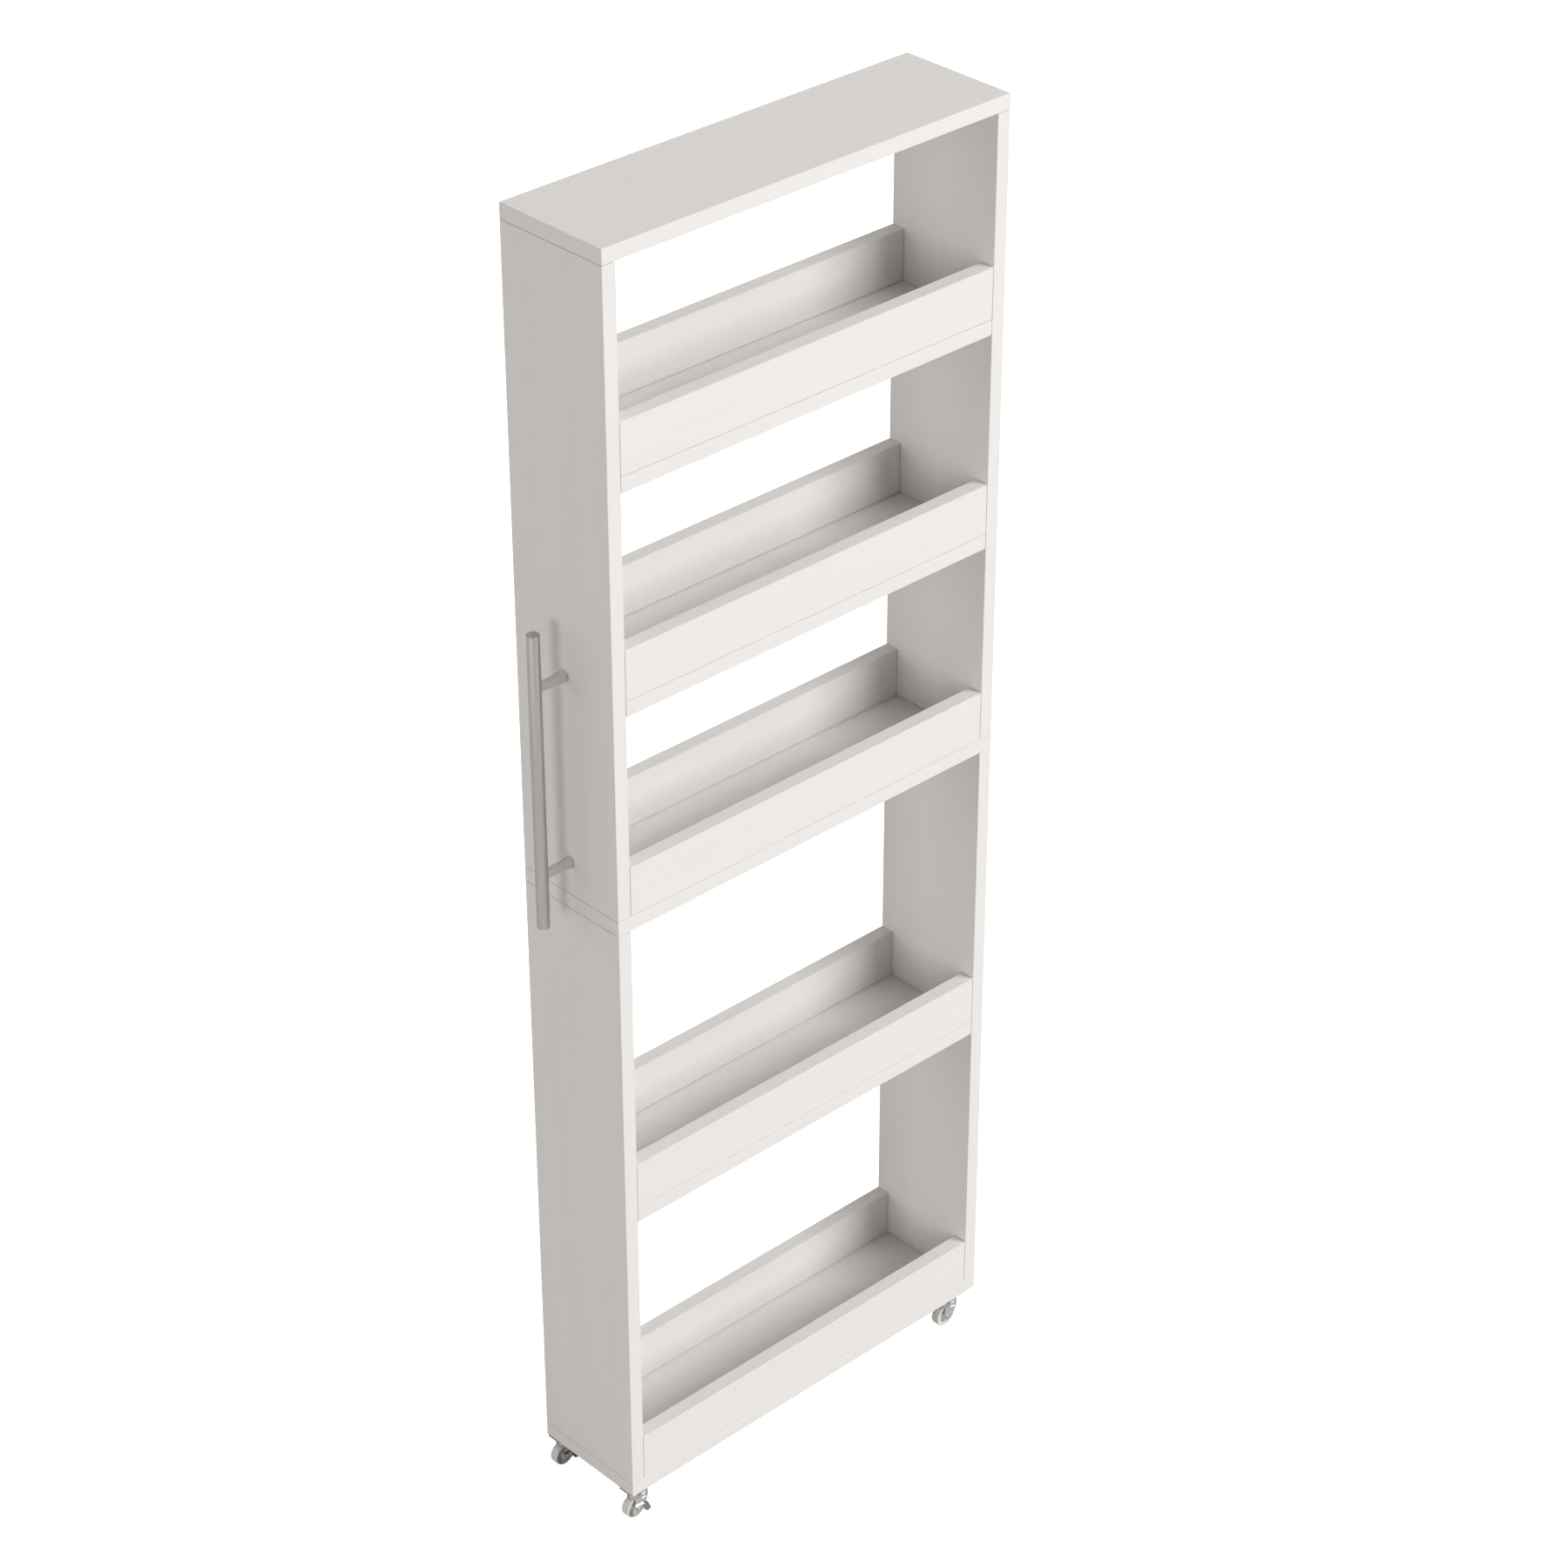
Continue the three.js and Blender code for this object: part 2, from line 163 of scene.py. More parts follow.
def spread(nodes, links, source, low, high, start=0.3, end=0.7):
    """Turns a texture's grey into a number between low and high."""
    scaled = nodes.new("ShaderNodeMapRange")
    scaled.inputs["From Min"].default_value = start
    scaled.inputs["From Max"].default_value = end
    scaled.inputs["To Min"].default_value = low
    scaled.inputs["To Max"].default_value = high
    links.new(source, scaled.inputs["Value"])
    return scaled.outputs["Result"]


def blend_colours(nodes, links, amount, first, second):
    mixer = nodes.new("ShaderNodeMix")
    mixer.data_type = "RGBA"
    for socket, colour in ((mixer.inputs[6], first), (mixer.inputs[7], second)):
        if isinstance(colour, tuple):
            socket.default_value = colour
        else:
            links.new(colour, socket)
    links.new(amount, mixer.inputs[0])
    return mixer.outputs[2]


def raise_surface(nodes, links, height, depth, strength=1.0):
    bump = nodes.new("ShaderNodeBump")
    bump.inputs["Strength"].default_value = strength
    bump.inputs["Distance"].default_value = depth
    links.new(height, bump.inputs["Height"])
    links.new(bump.outputs["Normal"], nodes["Principled BSDF"].inputs["Normal"])


def faced_material(name, along):
    """Melamine facing whose grain runs along the axis given."""
    material, nodes, links = new_material(name)
    shader = nodes["Principled BSDF"]
    fine = [1.0 if axis == along else 34.0 for axis in "xyz"]
    broad = [0.5 if axis == along else 6.0 for axis in "xyz"]
    pores = pattern(nodes, links, "ShaderNodeTexNoise", 26, fine, Detail=3, Roughness=0.6)
    figure = pattern(nodes, links, "ShaderNodeTexNoise", 7, broad, Detail=4, Distortion=0.6)
    toned = blend_colours(
        nodes, links, spread(nodes, links, figure.outputs[0], 0, 0.4), BOARD_COLOUR, GRAIN_COLOUR)
    veined = blend_colours(
        nodes, links, spread(nodes, links, pores.outputs[0], 0, 0.55, 0.52, 0.75),
        toned, GRAIN_COLOUR)
    links.new(veined, shader.inputs["Base Color"])
    links.new(spread(nodes, links, pores.outputs[0], 0.42, 0.56), shader.inputs["Roughness"])
    raise_surface(nodes, links, pores.outputs[0], 0.00012, 0.5)
    shader.inputs["Specular IOR Level"].default_value = 0.35
    return material


def tape_material():
    material, nodes, links = new_material("edge_tape")
    shader = nodes["Principled BSDF"]
    scuffs = pattern(nodes, links, "ShaderNodeTexNoise", 90, Detail=3)
    worn = blend_colours(
        nodes, links, spread(nodes, links, scuffs.outputs[0], 0, 0.5), TAPE_COLOUR, BOARD_COLOUR)
    links.new(worn, shader.inputs["Base Color"])
    links.new(spread(nodes, links, scuffs.outputs[0], 0.34, 0.5), shader.inputs["Roughness"])
    raise_surface(nodes, links, scuffs.outputs[0], 0.00005, 0.4)
    return material


def chip_material():
    material, nodes, links = new_material("raw_chipboard")
    shader = nodes["Principled BSDF"]
    chips = pattern(nodes, links, "ShaderNodeTexVoronoi", 420, (1, 1, 0.6))
    tone = blend_colours(
        nodes, links, spread(nodes, links, chips.outputs["Distance"], 0, 1, 0, 0.8),
        CHIP_COLOUR, PALE_CHIP_COLOUR)
    links.new(tone, shader.inputs["Base Color"])
    links.new(
        spread(nodes, links, chips.outputs["Distance"], 0.7, 0.95), shader.inputs["Roughness"])
    raise_surface(nodes, links, chips.outputs["Distance"], 0.0003)
    return material


facings = {axis: faced_material(f"faced_board_grain_{axis}", axis) for axis in "xz"}
tape = tape_material()
chip = chip_material()


def pick_faces(piece, wanted):
    """Selects the faces whose middle and normal pass the test and opens the piece for editing."""
    bpy.ops.object.mode_set(mode="OBJECT")
    mesh = piece.data
    for part in (mesh.vertices, mesh.edges, mesh.polygons):
        part.foreach_set("select", [False] * len(part))
    for face in mesh.polygons:
        face.select = wanted(face.center / MM, face.normal)
    bpy.context.tool_settings.mesh_select_mode = (False, False, True)
    bpy.ops.object.mode_set(mode="EDIT")


def pick_edges(piece, wanted):
    """Selects the edges whose two ends, in millimetres, pass the test."""
    bpy.ops.object.mode_set(mode="OBJECT")
    mesh = piece.data
    for part in (mesh.vertices, mesh.edges, mesh.polygons):
        part.foreach_set("select", [False] * len(part))
    for edge in mesh.edges:
        ends = [mesh.vertices[i].co / MM for i in edge.vertices]
        edge.select = wanted(*ends)
    bpy.context.tool_settings.mesh_select_mode = (False, True, False)
    bpy.ops.object.mode_set(mode="EDIT")


def block(name, low, high):
    """A cube stretched between two corners, given in metres, its place kept in its mesh."""
    bpy.ops.mesh.primitive_cube_add(size=1, location=(low + high) / 2, scale=high - low)
    piece = bpy.context.object
    piece.name = name
    bpy.ops.object.transform_apply()
    return piece


SMOOTH_BELOW = math.radians(38)


def finish_piece(piece, body, node, slot, *materials):
    """Closes editing, smooths the rounded parts and hands the piece to its body."""
    bpy.context.view_layer.objects.active = piece
    if piece.mode == "EDIT":
        bpy.ops.object.mode_set(mode="OBJECT")
    bpy.ops.object.select_all(action="DESELECT")
    piece.select_set(True)
    bpy.ops.object.shade_smooth_by_angle(angle=SMOOTH_BELOW)
    for material in materials:
        piece.data.materials.append(material)
    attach(piece, body)
    if node:
        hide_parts(node)
    piece.select_set(False)


def apply_modifier(piece, kind, **settings):
    bpy.context.view_layer.objects.active = piece
    modifier = piece.modifiers.new(kind.lower(), kind)
    for name, value in settings.items():
        setattr(modifier, name, value)
    bpy.ops.object.modifier_apply(modifier=modifier.name)


def cut_away(piece, cutter, operation="DIFFERENCE"):
    """Cuts one piece by another (or joins it on) and throws the second away."""
    apply_modifier(piece, "BOOLEAN", object=cutter, operation=operation, solver="EXACT")
    bpy.data.objects.remove(cutter)


def make_board(node, thickness, grain, raw):
    """A board cut to its node's box: thickness is its thin axis, raw lists its hidden ends."""
    low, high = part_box(node)
    piece = block(f"board_{node}", Vector(low), Vector(high))
    for material in (facings[grain], tape, chip):
        piece.data.materials.append(material)
    bpy.ops.object.mode_set(mode="EDIT")
    bpy.ops.mesh.select_all(action="SELECT")
    bpy.ops.mesh.bevel(offset=EASING * MM, segments=3, affect="EDGES", material=1)
    thin = "xyz".index(thickness)
    pick_faces(piece, lambda middle, normal: abs(normal[thin]) > FLAT)
    bpy.ops.mesh.inset(thickness=TAPE_THICKNESS * MM, use_boundary=True)
    bpy.ops.object.mode_set(mode="OBJECT")
    for face in piece.data.polygons:
        if face.material_index == 0 and abs(face.normal[thin]) > FLAT and not face.select:
            face.material_index = 1
        for end in raw:
            side = "xyz".index(end[1])
            if face.normal[side] * (1 if end[0] == "+" else -1) > FLAT:
                face.material_index = 2
    apply_modifier(piece, "WEIGHTED_NORMAL", keep_sharp=True)
    return piece


boards = {
    "bottom_board": ("z", "x", ()),
    "middle_board": ("z", "x", ()),
    "top_board": ("z", "x", ()),
    "lower_handle_side_board": ("x", "z", ("+z", "-z")),
    "upper_handle_side_board": ("x", "z", ("+z", "-z")),
    "lower_far_side_board": ("x", "z", ("+z", "-z")),
    "upper_far_side_board": ("x", "z", ("+z", "-z")),
    "shelf_1_board": ("z", "x", ("+x", "-x")),
    "shelf_2_board": ("z", "x", ("+x", "-x")),
    "shelf_4_board": ("z", "x", ("+x", "-x")),
}
for tray in range(1, 6):
    boards[f"front_rail_{tray}"] = ("y", "x", ("+x", "-x", "-z"))
    boards[f"back_rail_{tray}"] = ("y", "x", ("+x", "-x", "-z"))
for node, (thickness, grain, raw) in boards.items():
    piece = make_board(node, thickness, grain, raw)
    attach(piece, "cabinet")
    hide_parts(node)
    piece.select_set(False)

# The handle: a straight 300 mm bar of brushed stainless tube, closed at each end with a
# pressed-in cap, on two polished posts that widen towards the end board.
BAR_RADIUS = 6
TUBE_WALL = 0.8
CAP_GAP = 0.15
CAP_DEPTH = 0.35
POST_AT_BAR = 4.7
POST_AT_BOARD = 6


def metal(name, colour, rough, streaks, scale, depth, variation=0.1):
    """A bare or plated metal: streaks gives how its fine marks are stretched."""
    material, nodes, links = new_material(name)
    shader = nodes["Principled BSDF"]
    shader.inputs["Metallic"].default_value = 1
    marks = pattern(nodes, links, "ShaderNodeTexNoise", scale, streaks, Detail=4, Roughness=0.65)
    clouds = pattern(nodes, links, "ShaderNodeTexNoise", 60, Detail=2)
    dull = tuple(part * (1 - variation) for part in colour)
    tone = blend_colours(
        nodes, links, spread(nodes, links, marks.outputs[0], 0, 1), (*dull, 1), (*colour, 1))
    links.new(tone, shader.inputs["Base Color"])
    hazed = nodes.new("ShaderNodeMath")
    hazed.operation = "ADD"
    links.new(spread(nodes, links, marks.outputs[0], rough[0], rough[1]), hazed.inputs[0])
    links.new(spread(nodes, links, clouds.outputs[0], -0.03, 0.05), hazed.inputs[1])
    links.new(hazed.outputs[0], shader.inputs["Roughness"])
    raise_surface(nodes, links, marks.outputs[0], depth, 0.6)
    return material


brushed = metal(
    "brushed_stainless", (0.52, 0.51, 0.52), (0.3, 0.46), (60, 60, 1), 30, 0.00006, 0.22)
polished = metal("polished_stainless", (0.74, 0.73, 0.74), (0.08, 0.18), (1, 30, 30), 60, 0.00001)
zinc = metal("zinc_plated_steel", (0.5, 0.51, 0.53), (0.24, 0.42), (1, 1, 1), 500, 0.00003, 0.2)


def draw_line(name, points):
    """A line of edges from point to point, left open for editing with all of it selected."""
    bpy.ops.mesh.primitive_plane_add(size=MM)
    piece = bpy.context.object
    piece.name = name
    bpy.ops.object.mode_set(mode="EDIT")
    bpy.ops.mesh.select_mode(type="VERT")
    bpy.ops.mesh.select_all(action="SELECT")
    bpy.ops.mesh.merge(type="CENTER")
    bpy.ops.transform.translate(value=points[0])
    for start, end in zip(points, points[1:]):
        bpy.ops.mesh.extrude_vertices_move(TRANSFORM_OT_translate={"value": end - start})
    bpy.ops.mesh.select_all(action="SELECT")
    return piece


def turned(name, profile, axis, steps, closed=False):
    """Draws a profile of (radius, distance along the axis) in millimetres and spins it round."""
    out = {"x": (0, 0, 1), "y": (1, 0, 0), "z": (1, 0, 0)}[axis]
    way = {"x": (1, 0, 0), "y": (0, 1, 0), "z": (0, 0, 1)}[axis]
    points = [Vector(out) * r * MM + Vector(way) * h * MM for r, h in profile]
    if closed:
        points.append(points[0])
    piece = draw_line(name, points)
    bpy.ops.mesh.remove_doubles(threshold=MM / 1000)
    bpy.ops.mesh.spin(steps=steps, angle=math.tau, center=(0, 0, 0), axis=way)
    bpy.ops.mesh.select_all(action="SELECT")
    bpy.ops.mesh.remove_doubles(threshold=MM / 1000)
    bpy.ops.mesh.normals_make_consistent(inside=False)
    bpy.ops.object.mode_set(mode="OBJECT")
    return piece


def ease_edges(piece, width, segments=2, sharper_than=30):
    apply_modifier(piece, "BEVEL", width=width * MM, segments=segments,
                   limit_method="ANGLE", angle_limit=math.radians(sharper_than))


def put(piece, place):
    """Moves a piece from the maker's bench, at the origin, to its place, kept in its mesh."""
    bpy.ops.object.select_all(action="DESELECT")
    piece.select_set(True)
    bpy.context.view_layer.objects.active = piece
    piece.location = place
    bpy.ops.object.transform_apply()
    piece.select_set(False)


def middle(node):
    low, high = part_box(node)
    return (Vector(low) + Vector(high)) / 2


bar_low, bar_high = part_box("handle_bar")
bar_half = (bar_high[2] - bar_low[2]) / 2 / MM
cap = BAR_RADIUS - TUBE_WALL
bar = turned("handle_bar_tube", [
    (0, -bar_half), (cap - CAP_GAP, -bar_half), (cap - CAP_GAP, CAP_DEPTH - bar_half),
    (cap, CAP_DEPTH - bar_half), (cap, -bar_half), (BAR_RADIUS, -bar_half),
    (BAR_RADIUS, bar_half), (cap, bar_half), (cap, bar_half - CAP_DEPTH),
    (cap - CAP_GAP, bar_half - CAP_DEPTH), (cap - CAP_GAP, bar_half), (0, bar_half),
], "z", 72)
ease_edges(bar, 0.3, 3)
put(bar, middle("handle_bar"))
finish_piece(bar, "cabinet", "handle_bar", "brushed_stainless", brushed)

for level in ("lower", "upper"):
    node = f"handle_post_{level}"
    low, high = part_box(node)
    reach = high[0] / MM - middle("handle_bar")[0] / MM
    profile = [(0, 1)]
    for step in range(7):
        t = step / 6
        profile.append((POST_AT_BAR + (POST_AT_BOARD - POST_AT_BAR) * t * t, 1 + (reach - 1) * t))
    profile.append((0, reach))
    post = turned(f"handle_post_{level}_polished", profile, "x", 64)
    ease_edges(post, 0.35, 3, 50)
    bpy.ops.mesh.primitive_cylinder_add(vertices=96, radius=(BAR_RADIUS + 0.05) * MM, depth=0.04)
    cut_away(post, bpy.context.object)
    put(post, Vector((middle("handle_bar")[0], middle(node)[1], middle(node)[2])))
    finish_piece(post, "cabinet", node, "brushed_stainless", polished)

    # The screw that holds the post from inside the board: a pan head with a cross recess.
    node = f"handle_screw_{level}"
    low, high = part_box(node)
    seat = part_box("upper_handle_side_board")[1][0] / MM
    tip = low[0] / MM - seat
    screw = turned(f"handle_screw_{level}_pan_head", [
        (0, tip), (1.5, tip), (2, tip + 0.7), (2, 0.1), (4.2, 0.1), (4.3, 0.6),
        (4.05, 1.45), (3.2, 2.15), (1.8, 2.5), (0, 2.6)], "x", 48)
    ease_edges(screw, 0.12, 2, 40)
    for across, along_slot in ((4.6, 0.9), (0.9, 4.6)):
        bpy.ops.mesh.primitive_cube_add(size=1, location=(2.2 * MM, 0, 0),
                                        scale=(2.4 * MM, across * MM, along_slot * MM))
        slot_cut = bpy.context.object
        bpy.ops.object.transform_apply()
        cut_away(screw, slot_cut)
    put(screw, Vector((seat * MM, middle(node)[1], middle(node)[2])))
    finish_piece(screw, "cabinet", node, "zinc_steel", zinc)

# The casters: 23 mm wheels in small swivel forks. A pressed zinc plate is screwed under the
# bottom board and holds the upper cup of a ball race, and the plated fork turns under it.
# Each is made once on the bench about its own swivel axis, with the board at Z = 0.
AXLE_X = -5.9
AXLE_Z = -23.5
FORK_HALF = 6.6
SHEET = 1
CUP_BOTTOM = -8.9
CROWN_TOP = -9.2
PIN = 2.1
PLATE_LOW = Vector((-16, -9.3, -1.3))
PLATE_HIGH = Vector((16, 9.3, -0.1))
SCREW_X = 13.1
SCREW_Y = 6.4
BALLS = 17
BALL_RADIUS = 1.25
BALL_PATH = 7.6
BALL_HEIGHT = -7.8
WHEEL_RADIUS = 11.5
TREAD_HALF = 4.65
WHEEL_BORE = 1.58

chrome = metal("bright_plated_steel", (0.6, 0.59, 0.6), (0.06, 0.13), (1, 1, 1), 220, 0.00002)
ball_steel = metal("polished_ball_steel", (0.5, 0.5, 0.5), (0.05, 0.12), (1, 1, 1), 300, 0.000005)


def outline_plate(name, points, low, high, rounding=0.6):
    """A plate standing in XZ, cut to an outline and as thick as from low to high in Y."""
    piece = draw_line(name, [Vector((x, low, z)) * MM for x, z in points])
    bpy.ops.mesh.edge_face_add()
    if rounding:
        bpy.ops.mesh.bevel(affect="VERTICES", offset=rounding * MM, segments=3)
    bpy.ops.mesh.select_all(action="SELECT")
    bpy.ops.mesh.extrude_region_move(TRANSFORM_OT_translate={"value": (0, (high - low) * MM, 0)})
    bpy.ops.mesh.select_all(action="SELECT")
    bpy.ops.mesh.normals_make_consistent(inside=False)
    bpy.ops.object.mode_set(mode="OBJECT")
    return piece


def drill(piece, radius, place, axis, depth=40):
    turn = {"x": (0, math.pi / 2, 0), "y": (math.pi / 2, 0, 0), "z": (0, 0, 0)}[axis]
    bpy.ops.mesh.primitive_cylinder_add(
        vertices=40, radius=radius * MM, depth=depth * MM,
        location=Vector(place) * MM, rotation=turn)
    cut_away(piece, bpy.context.object)


def caster_plate():
    """The pressed plate, 32 by 18.6 mm with its corners cut, and the cup drawn down from it."""
    piece = block("caster_plate", PLATE_LOW * MM, PLATE_HIGH * MM)
    pick_edges(piece, lambda a, b: abs(a.z - b.z) > 1)
    bpy.ops.mesh.bevel(offset=2 * MM, segments=4, affect="EDGES")
    bpy.ops.object.mode_set(mode="OBJECT")
    for x in (-SCREW_X, SCREW_X):
        for y in (-SCREW_Y, SCREW_Y):
            drill(piece, 1.5, (x, y, 0), "z")
    cup = turned("race_cup", [
        (PIN, -2.4), (6.9, -2.4), (9.1, -6.2), (9.1, CUP_BOTTOM), (10.1, CUP_BOTTOM),
        (10.1, -6.4), (9.6, -5.6), (7.9, -2.2), (7.9, -0.5), (PIN, -0.5)], "z", 64, closed=True)
    drill(piece, PIN, (0, 0, 0), "z")
    cut_away(piece, cup, "UNION")
    ease_edges(piece, 0.22, 2, 35)
    return piece


def caster_plate_screws():
    """Four small pan-head screws, their heads under the plate."""
    piece = turned("caster_plate_screws", [
        (0, -0.6), (1.3, -0.6), (1.3, -1.35), (2.5, -1.35), (2.5, -1.7), (2.1, -2.3),
        (1.2, -2.6), (0, -2.65)], "z", 28)
    ease_edges(piece, 0.1, 2, 40)
    for wide, deep in ((2.6, 0.5), (0.5, 2.6)):
        bpy.ops.mesh.primitive_cube_add(size=1, location=(0, 0, -2.5 * MM),
                                        scale=(wide * MM, deep * MM, MM))
        slot_cut = bpy.context.object
        bpy.ops.object.transform_apply()
        cut_away(piece, slot_cut)
    bpy.ops.object.select_all(action="DESELECT")
    piece.select_set(True)
    bpy.context.view_layer.objects.active = piece
    bpy.ops.object.mode_set(mode="EDIT")
    bpy.ops.mesh.select_all(action="SELECT")
    bpy.ops.transform.translate(value=Vector((SCREW_X, SCREW_Y, 0)) * MM)
    for step in ((-2 * SCREW_X, 0, 0), (0, -2 * SCREW_Y, 0), (2 * SCREW_X, 0, 0)):
        bpy.ops.mesh.duplicate_move(TRANSFORM_OT_translate={"value": Vector(step) * MM})
    bpy.ops.object.mode_set(mode="OBJECT")
    return piece


def ball_race():
    """A ring of loose balls between the cup and the crown of the fork."""
    bpy.ops.mesh.primitive_uv_sphere_add(segments=20, ring_count=12, radius=BALL_RADIUS * MM,
                                         location=Vector((BALL_PATH, 0, BALL_HEIGHT)) * MM)
    piece = bpy.context.object
    piece.name = "ball_race"
    bpy.ops.object.transform_apply()
    bpy.ops.object.mode_set(mode="EDIT")
    bpy.ops.mesh.select_all(action="SELECT")
    bpy.ops.mesh.spin(steps=BALLS, dupli=True, angle=math.tau, center=(0, 0, 0), axis=(0, 0, 1))
    bpy.ops.mesh.select_all(action="SELECT")
    bpy.ops.mesh.remove_doubles(threshold=MM / 1000)
    bpy.ops.mesh.normals_make_consistent(inside=False)
    bpy.ops.object.mode_set(mode="OBJECT")
    return piece


def kingpin():
    """The rivet that the fork turns on, its lower head peened over."""
    piece = turned("kingpin", [
        (0, -11.5), (1.6, -11.5), (2.9, -11.4), (3.7, -11.0), (3.7, -10.4),
        (2, -10.4), (2, -0.4), (0, -0.4)], "z", 40)
    ease_edges(piece, 0.1, 2, 40)
    return piece


LEG_OUTLINE = [
    (-1.7, 14.3), (-2.3, 8), (-3, 3.2), (-3.9, -0.4), (-3.6, -2.6), (-2.2, -4.3), (0, -5.2),
    (2.6, -5.3), (4.6, -4.7), (6.3, -3.5), (8.7, -0.9), (10.7, 2.7), (12.2, 6.7),
    (13.4, 10.8), (13.4, 14.3)]


def caster_fork():
    """One pressing: the round crown under the balls and a leg down each side of the wheel."""
    width, bend = FORK_HALF, 1.6
    top = CROWN_TOP
    bpy.ops.mesh.primitive_cube_add(size=1, location=Vector((0, 0, (top - 40) / 2)) * MM,
                                    scale=Vector((30, 2 * width, top + 40)) * MM)
    piece = bpy.context.object
    piece.name = "caster_fork"
    bpy.ops.object.transform_apply()
    pick_edges(piece, lambda a, b: min(a.z, b.z) > top - 0.1 and abs(a.x - b.x) > 1)
    bpy.ops.mesh.bevel(offset=bend * MM, segments=6, affect="EDGES")
    bpy.ops.object.mode_set(mode="OBJECT")
    bpy.ops.mesh.primitive_cube_add(size=1, location=Vector((0, 0, (top - SHEET - 44) / 2)) * MM,
                                    scale=Vector((34, 2 * (width - SHEET), top - SHEET + 44)) * MM)
    hollow = bpy.context.object
    bpy.ops.object.transform_apply()
    pick_edges(hollow, lambda a, b: min(a.z, b.z) > top - SHEET - 0.1 and abs(a.x - b.x) > 1)
    bpy.ops.mesh.bevel(offset=(bend - SHEET) * MM, segments=4, affect="EDGES")
    bpy.ops.object.mode_set(mode="OBJECT")
    cut_away(piece, hollow)
    legs = outline_plate("legs", [(x + AXLE_X, z + AXLE_Z) for x, z in LEG_OUTLINE], -15, 15)
    cut_away(piece, legs, "INTERSECT")
    crown = turned("crown", [
        (PIN, top - 1), (8.8, top - 1), (9.1, top - 2.2), (10.1, top - 2.2), (10.1, top - 0.3),
        (9.8, top), (6.1, top), (5.6, -5), (4.6, -3.4), (PIN, -3.4)], "z", 64, closed=True)
    drill(piece, PIN, (0, 0, 0), "z")
    cut_away(piece, crown, "UNION")
    drill(piece, 1.6, (AXLE_X, 0, AXLE_Z), "y")
    ease_edges(piece, 0.16, 2, 32)
    return piece


def caster_wheel():
    """Moulded in one: a tread with round shoulders, a raised rim and a hub."""
    radius, half, bore = WHEEL_RADIUS, TREAD_HALF, WHEEL_BORE
    piece = turned("caster_wheel", [
        (bore, -4.9), (3.3, -4.9), (3.8, -3.2), (9.3, -3.2), (9.9, -half), (radius - 0.9, -half),
        (radius - 0.25, -half + 0.3), (radius, -half + 1), (radius, half - 1),
        (radius - 0.25, half - 0.3), (radius - 0.9, half), (9.9, half), (9.3, 3.2),
        (3.8, 3.2), (3.3, 4.9), (bore, 4.9)], "y", 96, closed=True)
    ease_edges(piece, 0.22, 3, 25)
    return piece


def caster_axle(head):
    """The rivet that the wheel runs on, headed outside each leg."""
    tail = FORK_HALF + 0.1
    piece = turned("caster_axle", [
        (0, head - 0.9), (1.2, head - 0.9), (2.1, head - 0.7), (2.6, head - 0.3), (2.6, head),
        (1.5, head), (1.5, tail), (2.4, tail), (2.3, tail + 0.5), (1.5, tail + 0.9),
        (0, tail + 0.9)], "y", 36)
    ease_edges(piece, 0.12, 2, 40)
    return piece


LEVER_INNER = -FORK_HALF - 0.3
LEVER_OUTER = LEVER_INNER - SHEET
LEVER_OUTLINE = [
    (-3.6, 3.8), (-5.4, 2.2), (-6.8, -0.2), (-7, -2.4), (-6.4, -4.6), (-4.8, -6.3), (-2.8, -7.1),
    (-0.8, -7.1), (1.4, -5.8), (3.3, -4.4), (6, -3.6), (8, -3), (8.8, 3.3), (5, 3.3), (1.1, 3.8)]
PEDAL_REACH = -12.8


def solid_between(name, upper, lower):
    """A closed block whose top and bottom are two outlines with as many corners each."""
    pieces = []
    for points in (upper, lower):
        piece = draw_line(name, [Vector(point) * MM for point in points])
        bpy.ops.mesh.edge_face_add()
        bpy.ops.object.mode_set(mode="OBJECT")
        pieces.append(piece)
    bpy.ops.object.select_all(action="DESELECT")
    for piece in pieces:
        piece.select_set(True)
    bpy.context.view_layer.objects.active = pieces[0]
    bpy.ops.object.join()
    piece = bpy.context.object
    piece.name = name
    bpy.ops.object.mode_set(mode="EDIT")
    bpy.ops.mesh.select_all(action="SELECT")
    bpy.ops.mesh.delete(type="ONLY_FACE")
    bpy.ops.mesh.select_all(action="SELECT")
    bpy.ops.mesh.bridge_edge_loops()
    bpy.ops.mesh.select_all(action="SELECT")
    bpy.ops.mesh.fill_holes(sides=0)
    bpy.ops.mesh.select_all(action="SELECT")
    bpy.ops.mesh.normals_make_consistent(inside=False)
    bpy.ops.object.mode_set(mode="OBJECT")
    return piece


def painted_reflection_material():
    """Painted reflection: a finely grained dark grey on top of the pedal, standing in for the
    shaded underside of the cart that its top reflects.
    """
    material, nodes, links = new_material("pedal_painted_reflection")
    shader = nodes["Principled BSDF"]
    grit = pattern(nodes, links, "ShaderNodeTexNoise", 1600, Detail=3)
    tone = blend_colours(
        nodes, links, spread(nodes, links, grit.outputs[0], 0, 1),
        (0.07, 0.07, 0.072, 1), (0.13, 0.128, 0.13, 1))
    links.new(tone, shader.inputs["Base Color"])
    links.new(spread(nodes, links, grit.outputs[0], 0.4, 0.6), shader.inputs["Roughness"])
    raise_surface(nodes, links, grit.outputs[0], 0.00006)
    return material


pedal_reflection_paint = painted_reflection_material()


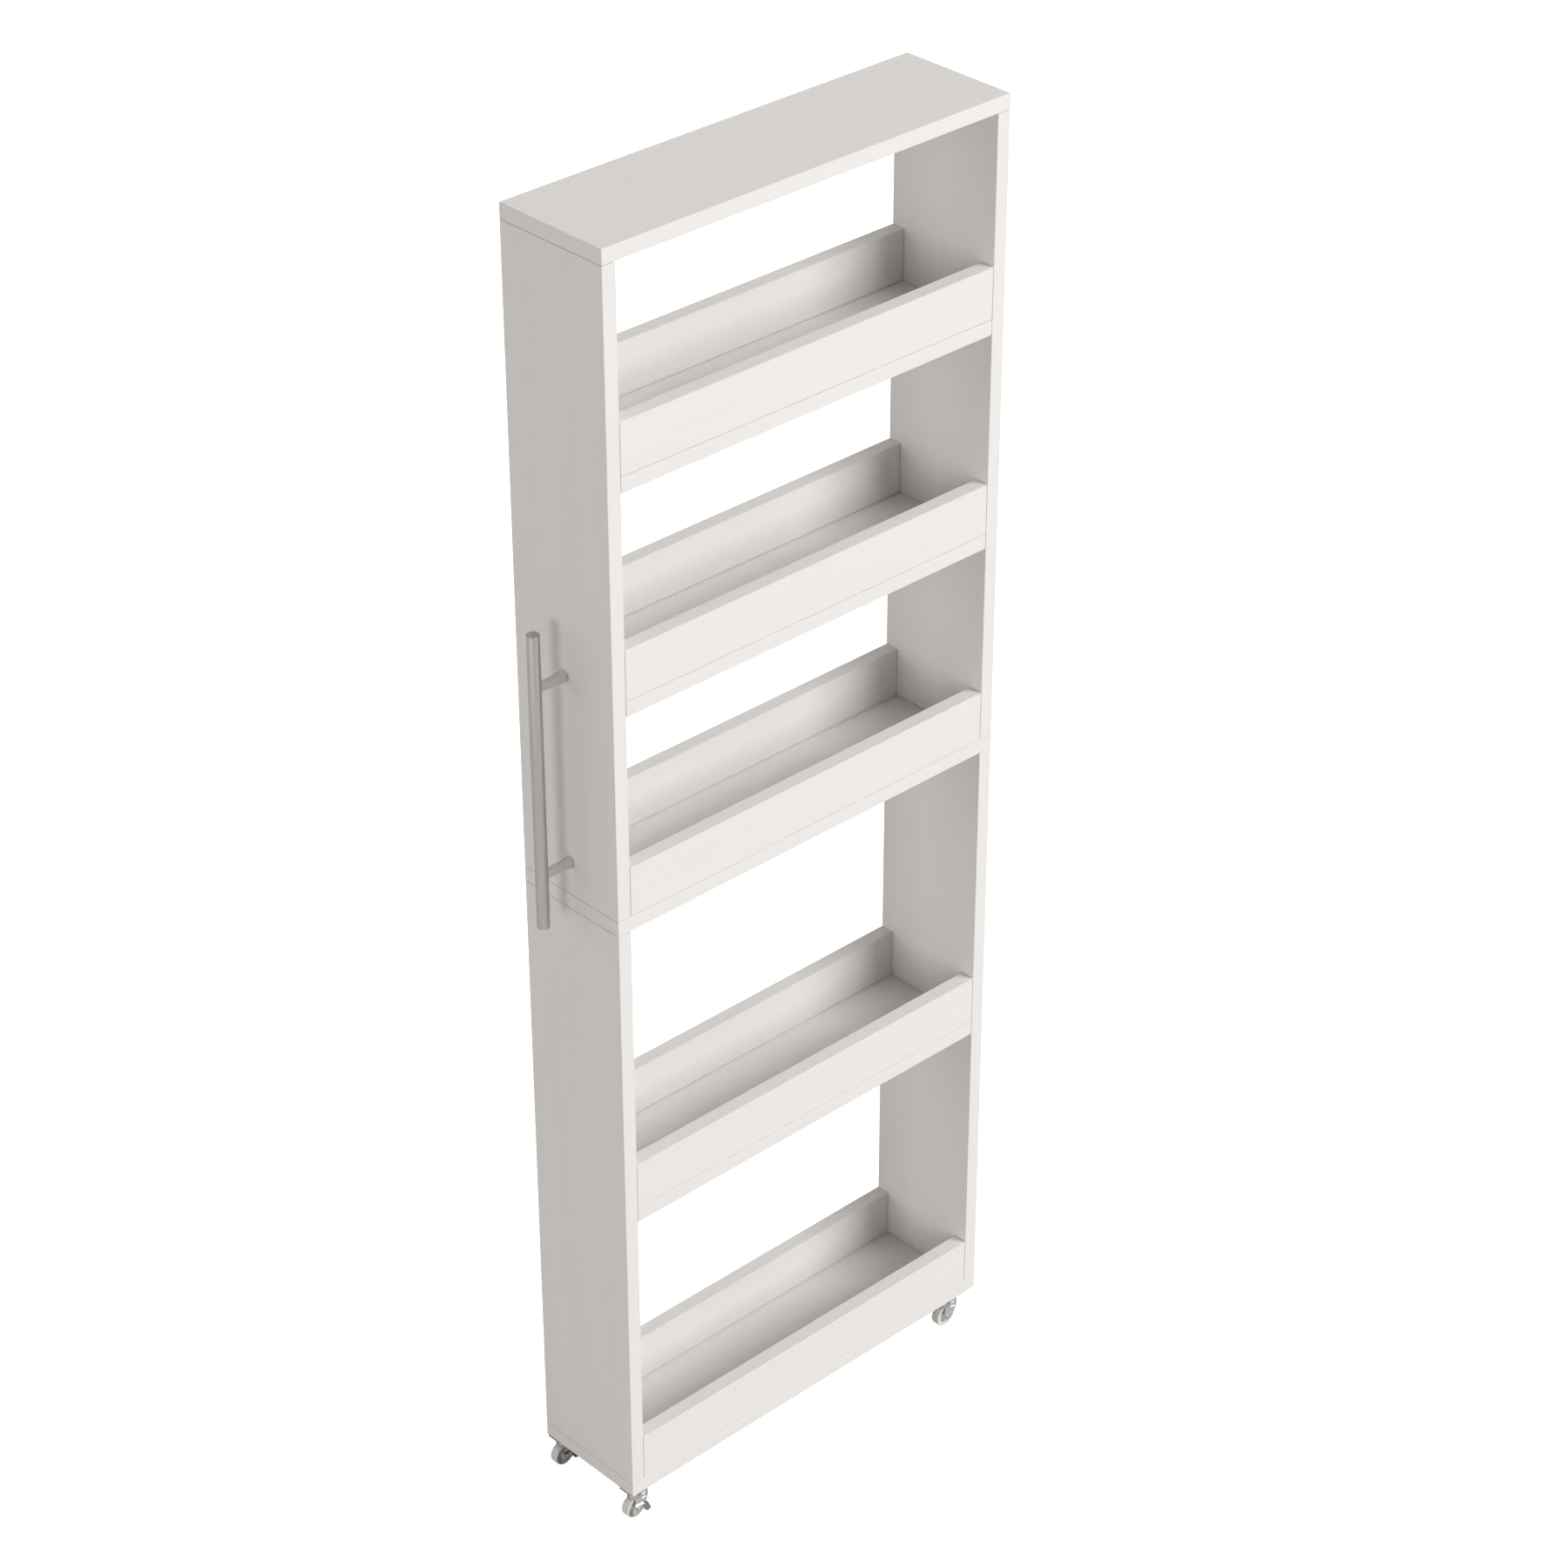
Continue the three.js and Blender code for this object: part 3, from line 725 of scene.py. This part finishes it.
def brake_lever():
    """Pressed plate: a lobe round the axle, an arm across the leg and a pedal bent outwards."""
    lip = PEDAL_REACH
    piece = outline_plate("brake_lever", LEVER_OUTLINE, LEVER_OUTER, LEVER_INNER, 0.7)
    pedal_top = [
        (5.6, LEVER_INNER, 3.1), (12.2, LEVER_INNER, 2.9), (12.6, (LEVER_INNER + lip) / 2, 0.9),
        (12.5, lip + 0.9, -1.1), (11.6, lip, -1.8), (8.2, lip, -2.4), (6.2, lip + 1.2, -2),
        (5.8, (LEVER_OUTER + lip) / 2, -0.6)]
    pedal_under = [(x, min(y + 0.4, LEVER_INNER), z - 1.1) for x, y, z in pedal_top]
    pedal = solid_between("pedal", pedal_top, pedal_under)
    pick_edges(pedal, lambda a, b: abs(a.x - b.x) < 0.01 and max(a.y, b.y) < LEVER_OUTER - 1)
    bpy.ops.mesh.bevel(offset=0.8 * MM, segments=3, affect="EDGES")
    bpy.ops.object.mode_set(mode="OBJECT")
    cut_away(piece, pedal, "UNION")
    ease_edges(piece, 0.25, 3, 25)
    drill(piece, 1.62, (0, 0, 0), "y")
    for material in (chrome, pedal_reflection_paint):
        piece.data.materials.append(material)
    # Painted reflection: the upward-facing faces on top of the pedal get the dark grey that stands
    # in for the reflected shade of the underside.
    for face in piece.data.polygons:
        across = face.center.y / MM
        painted_reflection_face = face.normal.z > 0.45 and lip + 0.5 < across < LEVER_OUTER - 0.4
        face.material_index = int(painted_reflection_face)
    put(piece, Vector((AXLE_X, 0, AXLE_Z)) * MM)
    return piece


def caster_plastic():
    material, nodes, links = new_material("pale_moulded_plastic")
    shader = nodes["Principled BSDF"]
    flow = pattern(nodes, links, "ShaderNodeTexNoise", 140, Detail=4)
    dust = pattern(nodes, links, "ShaderNodeTexNoise", 900, Detail=3)
    tone = blend_colours(
        nodes, links, spread(nodes, links, flow.outputs[0], 0, 1),
        (0.68, 0.668, 0.64, 1), (0.77, 0.758, 0.73, 1))
    links.new(tone, shader.inputs["Base Color"])
    links.new(spread(nodes, links, dust.outputs[0], 0.36, 0.55), shader.inputs["Roughness"])
    raise_surface(nodes, links, dust.outputs[0], 0.00004, 0.5)
    return material


plastic = caster_plastic()
bench = {
    "plate": (caster_plate(), "cabinet", "zinc_steel", zinc),
    "plate_screws": (caster_plate_screws(), "cabinet", "zinc_steel", zinc),
    "ball_ring": (ball_race(), "cabinet", "ball_steel", ball_steel),
    "kingpin": (kingpin(), "cabinet", "zinc_steel", zinc),
    "fork": (caster_fork(), "swivel", "plated_steel", chrome),
    "wheel": (caster_wheel(), "roller", "wheel_plastic", plastic),
    "axle": (caster_axle(-FORK_HALF - 0.1), "swivel", "zinc_steel", zinc),
    "brake_lever": (brake_lever(), "brake", "plated_steel"),
    "long_axle": (caster_axle(LEVER_OUTER - 0.1), "swivel", "zinc_steel", zinc),
}
for name in ("wheel", "axle", "long_axle"):
    put(bench[name][0], Vector((AXLE_X, 0, AXLE_Z)) * MM)
for tag in ("handle_front", "handle_back", "far_front", "far_back"):
    pin = middle(f"caster_{tag}_kingpin")
    board_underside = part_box("bottom_board")[0][2]
    braked = tag.startswith("handle")
    parts = ["plate", "plate_screws", "ball_ring", "kingpin", "fork", "wheel"]
    parts += ["long_axle", "brake_lever"] if braked else ["axle"]
    for part in parts:
        pattern_piece, body, slot_name, *materials = bench[part]
        copy = pattern_piece.copy()
        copy.data = pattern_piece.data.copy()
        bpy.context.scene.collection.objects.link(copy)
        part = part.replace("long_", "")
        copy.name = f"{tag}_caster_{part}"
        put(copy, Vector((pin.x, pin.y, board_underside)))
        body_name = "cabinet" if body == "cabinet" else f"caster_{tag}_{body}"
        node = None if part == "plate_screws" else f"caster_{tag}_{part}"
        finish_piece(copy, body_name, node, slot_name, *materials)
for pattern_piece, *_ in bench.values():
    bpy.data.objects.remove(pattern_piece)
